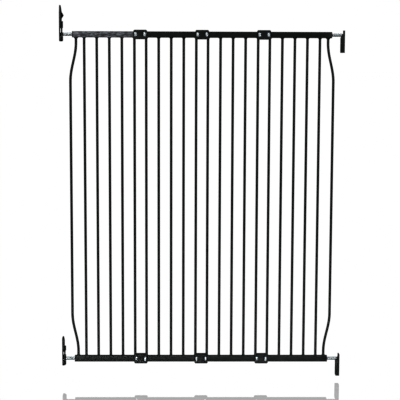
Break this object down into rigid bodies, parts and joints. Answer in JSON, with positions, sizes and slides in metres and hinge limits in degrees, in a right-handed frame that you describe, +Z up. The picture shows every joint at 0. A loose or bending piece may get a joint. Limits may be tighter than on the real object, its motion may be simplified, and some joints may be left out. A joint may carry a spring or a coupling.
{
  "type": "pet gate",
  "caption": "Tall wire pet gate of barred panels joined by clamps, hung on lift-off hinges at one wall and resting in catches at the other.",
  "frame": {"origin": "middle of the opening and of the gate's thickness, at the height of the lower catch's foot", "axes": "+X along the gate from the hinges to the catches, +Y to the far side, +Z up"},
  "size_m": [0.875, 0.028, 1.1586],
  "materials": {
    "black_coated_steel": "satin powder coat",
    "black_plastic": "fine moulded texture",
    "zinc_steel": "bright zinc plate",
    "nylon": "natural nylon"
  },
  "bodies": {
    "wall_fittings": {"top_hinge_bracket": "black_plastic", "bottom_hinge_bracket": "black_plastic", "top_hinge_pin": "black_coated_steel", "bottom_hinge_pin": "black_coated_steel", "top_catch": "black_plastic", "bottom_catch": "black_plastic"},
    "hinge_lock": {"hinge_lock_slider": "black_plastic"},
    "hinge_bushes": {"top_hinge_bush": "nylon", "bottom_hinge_bush": "nylon", "bottom_hinge_spacer": "black_plastic"},
    "hinge_spindles": {"top_hinge_spindle": "zinc_steel", "bottom_hinge_spindle": "zinc_steel", "top_hinge_eye": "black_plastic", "bottom_hinge_eye": "black_plastic"},
    "gate": {"panel_1_top_rail": "black_coated_steel", "panel_2_top_rail": "black_coated_steel", "panel_3_top_rail": "black_coated_steel", "panel_4_top_rail": "black_coated_steel", "panel_1_bottom_rail": "black_coated_steel", "panel_2_bottom_rail": "black_coated_steel", "panel_3_bottom_rail": "black_coated_steel", "panel_4_bottom_rail": "black_coated_steel", "panel_1_bars": "black_coated_steel", "panel_2_bars": "black_coated_steel", "panel_3_bars": "black_coated_steel", "panel_4_bars": "black_coated_steel", "left_end_bar": "black_coated_steel", "right_end_bar": "black_coated_steel", "clamp_1_top_front": "black_plastic", "clamp_2_top_front": "black_plastic", "clamp_3_top_front": "black_plastic", "clamp_1_top_rear": "black_plastic", "clamp_2_top_rear": "black_plastic", "clamp_3_top_rear": "black_plastic", "clamp_1_bottom_front": "black_plastic", "clamp_2_bottom_front": "black_plastic", "clamp_3_bottom_front": "black_plastic", "clamp_1_bottom_rear": "black_plastic", "clamp_2_bottom_rear": "black_plastic", "clamp_3_bottom_rear": "black_plastic", "top_clamp_bolts": "zinc_steel", "bottom_clamp_bolts": "zinc_steel", "top_clamp_nuts": "zinc_steel", "bottom_clamp_nuts": "zinc_steel", "top_rail_joiners": "zinc_steel", "bottom_rail_joiners": "zinc_steel", "top_left_end_plug": "black_plastic", "top_right_end_plug": "black_plastic", "bottom_left_end_plug": "black_plastic", "bottom_right_end_plug": "black_plastic", "top_left_insert": "zinc_steel", "top_right_insert": "zinc_steel", "bottom_left_insert": "zinc_steel", "bottom_right_insert": "zinc_steel"},
    "top_latch": {"top_latch_spindle": "zinc_steel"},
    "bottom_latch": {"bottom_latch_spindle": "zinc_steel"}
  },
  "joints": [
    {"name": "lock_slide", "type": "slide", "parent": "wall_fittings", "child": "hinge_lock", "axis": [0, 0, 1], "range_m": [0, 0.008]},
    {"name": "gate_lift", "type": "slide", "parent": "wall_fittings", "child": "hinge_bushes", "axis": [0, 0, 1], "range_m": [0, 0.012]},
    {"name": "gate_swing", "type": "hinge", "parent": "hinge_bushes", "child": "hinge_spindles", "pos_m": [-0.4305, 0, 0.054], "axis": [0, 0, 1], "range_deg": [-90, 90]},
    {"name": "hinge_adjust", "type": "slide", "parent": "hinge_spindles", "child": "gate", "axis": [1, 0, 0], "range_m": [-0.01, 0]},
    {"name": "top_latch_adjust", "type": "slide", "parent": "gate", "child": "top_latch", "axis": [1, 0, 0], "range_m": [-0.01, 0]},
    {"name": "bottom_latch_adjust", "type": "slide", "parent": "gate", "child": "bottom_latch", "axis": [1, 0, 0], "range_m": [-0.01, 0]}
  ]
}
